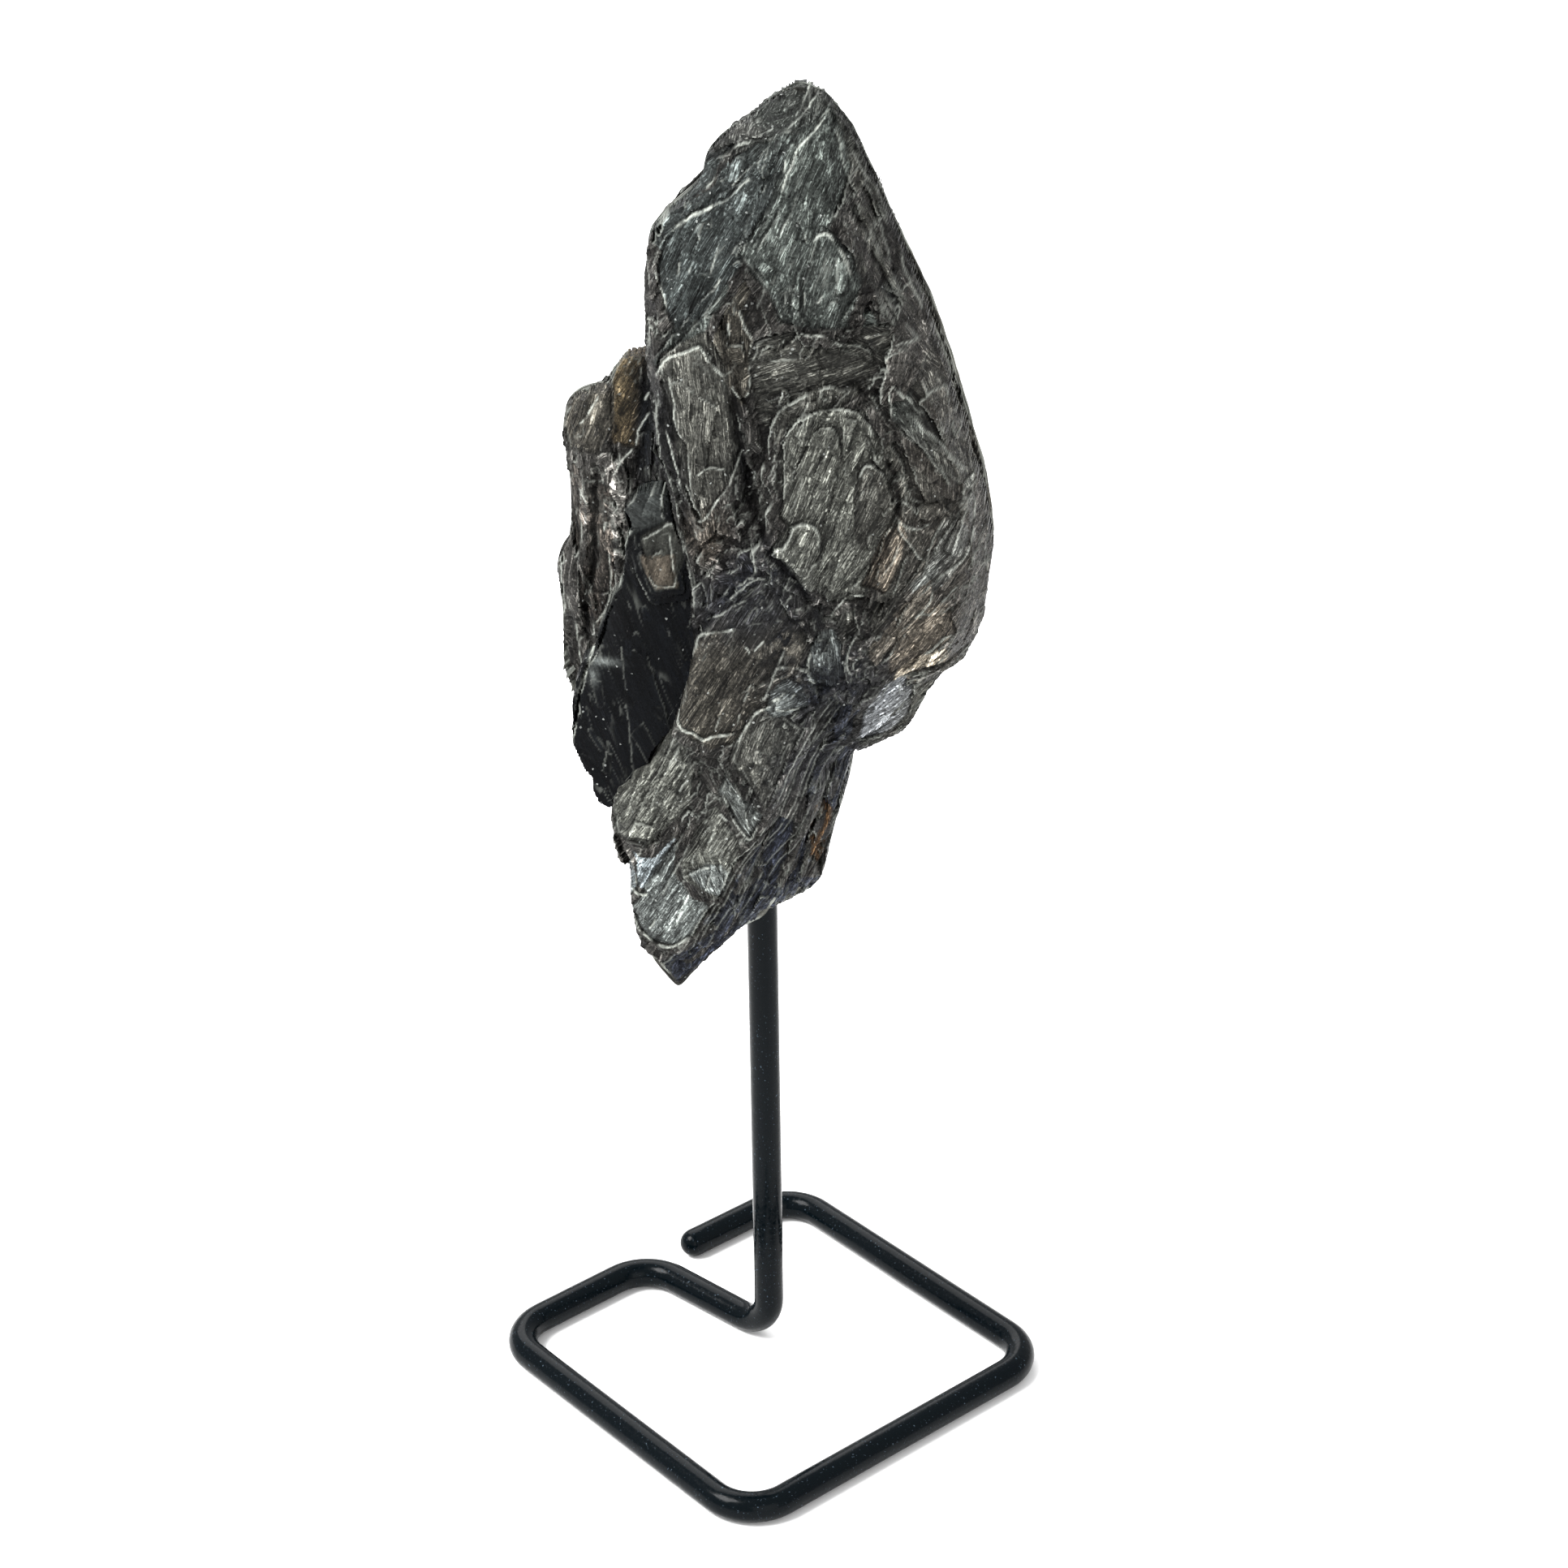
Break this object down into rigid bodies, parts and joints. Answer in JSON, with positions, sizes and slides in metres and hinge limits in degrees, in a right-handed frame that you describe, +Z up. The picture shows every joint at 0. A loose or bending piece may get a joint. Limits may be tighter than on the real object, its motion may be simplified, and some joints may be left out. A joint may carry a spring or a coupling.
{
  "type": "mica specimen",
  "caption": "Tall layered mica rock, flaky and silvery brown with a black glassy patch, fixed upright on a bent wire post with a square wire base.",
  "frame": {"origin": "on the surface that the stand rests on, under the middle of the square wire base", "axes": "+Z up along the post; the display face of the rock looks along -Y; the corners of the base lie on the X and Y axes"},
  "size_m": [0.0689, 0.0688, 0.1693],
  "materials": {
    "mica": "satin, layered, opaque",
    "black_enamel": "gloss"
  },
  "bodies": {
    "root": {"mica_specimen": "mica", "wire_stand": "black_enamel"}
  },
  "joints": []
}
